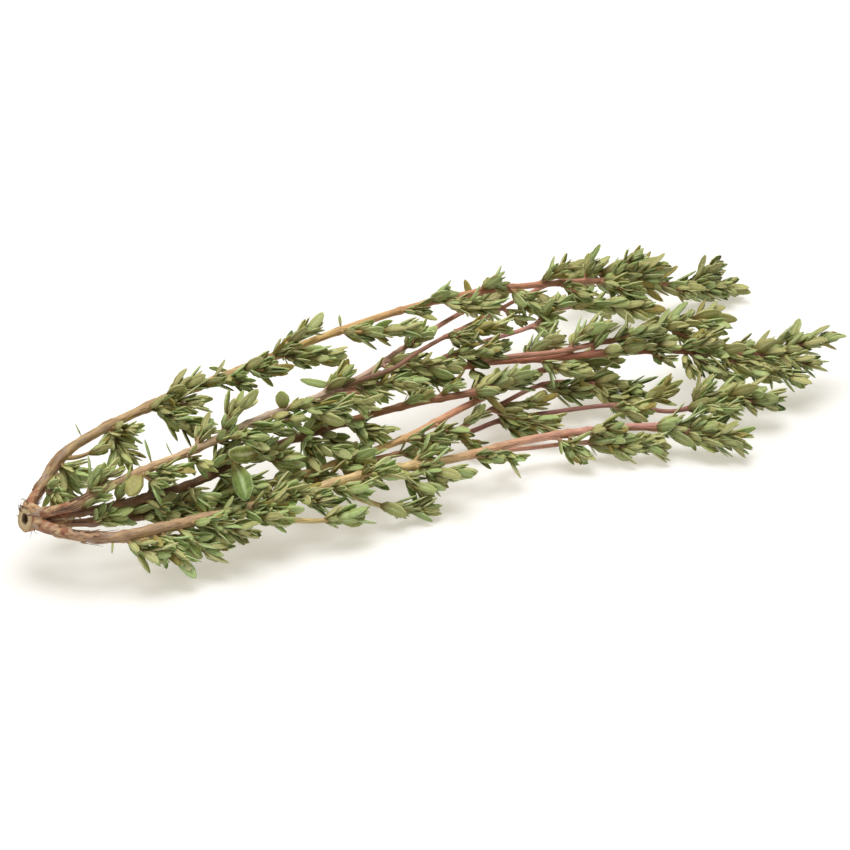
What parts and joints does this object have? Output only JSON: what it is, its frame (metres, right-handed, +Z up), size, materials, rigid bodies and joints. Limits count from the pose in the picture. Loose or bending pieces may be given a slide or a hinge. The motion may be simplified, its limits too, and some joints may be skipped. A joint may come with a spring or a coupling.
{
  "type": "thyme bundle",
  "caption": "Bundle of fresh cut thyme lying on its side: long stems branch from a short woody crown and carry leafy side shoots and dense leafy tips.",
  "frame": {"origin": "On the surface that the bundle lies on, below the middle of its box.", "axes": "+X runs from the cut end of the crown to the leafy tips, +Y across the bundle to its back, +Z up."},
  "size_m": [0.2144, 0.0882, 0.0362],
  "materials": {
    "crown_wood": "rough grey-brown bark with a pale cut face",
    "old_stem": "thin matte bark, grey-brown at the base and tan above",
    "young_stem": "smooth matte skin, reddish",
    "leaf": "matte waxy green leaf"
  },
  "bodies": {
    "root": {"crown": "crown_wood", "leafy_tip_1": "leaf", "leafy_tip_10": "leaf", "leafy_tip_11": "leaf", "leafy_tip_12": "leaf", "leafy_tip_2": "leaf", "leafy_tip_3": "leaf", "leafy_tip_4": "leaf", "leafy_tip_5": "leaf", "leafy_tip_6": "leaf", "leafy_tip_7": "leaf", "leafy_tip_8": "leaf", "leafy_tip_9": "leaf", "side_shoot_10_1": "leaf", "side_shoot_10_2": "leaf", "side_shoot_11_1": "leaf", "side_shoot_11_2": "leaf", "side_shoot_11_3": "leaf", "side_shoot_11_4": "leaf", "side_shoot_11_5": "leaf", "side_shoot_1_1": "leaf", "side_shoot_1_2": "leaf", "side_shoot_1_3": "leaf", "side_shoot_1_4": "leaf", "side_shoot_1_5": "leaf", "side_shoot_1_6": "leaf", "side_shoot_1_7": "leaf", "side_shoot_1_8": "leaf", "side_shoot_1_9": "leaf", "side_shoot_2_1": "leaf", "side_shoot_2_2": "leaf", "side_shoot_2_3": "leaf", "side_shoot_2_4": "leaf", "side_shoot_2_5": "leaf", "side_shoot_3_1": "leaf", "side_shoot_4_1": "leaf", "side_shoot_4_2": "leaf", "side_shoot_5_1": "leaf", "side_shoot_5_2": "leaf", "side_shoot_5_3": "leaf", "side_shoot_6_1": "leaf", "side_shoot_7_1": "leaf", "side_shoot_7_2": "leaf", "side_shoot_7_3": "leaf", "side_shoot_8_1": "leaf", "side_shoot_8_2": "leaf", "side_shoot_8_3": "leaf", "side_shoot_9_1": "leaf", "stem_1": "old_stem", "stem_10": "young_stem", "stem_11": "old_stem", "stem_12": "young_stem", "stem_2": "old_stem", "stem_3": "young_stem", "stem_4": "young_stem", "stem_5": "young_stem", "stem_6": "young_stem", "stem_7": "old_stem", "stem_8": "old_stem", "stem_9": "young_stem"}
  },
  "joints": []
}
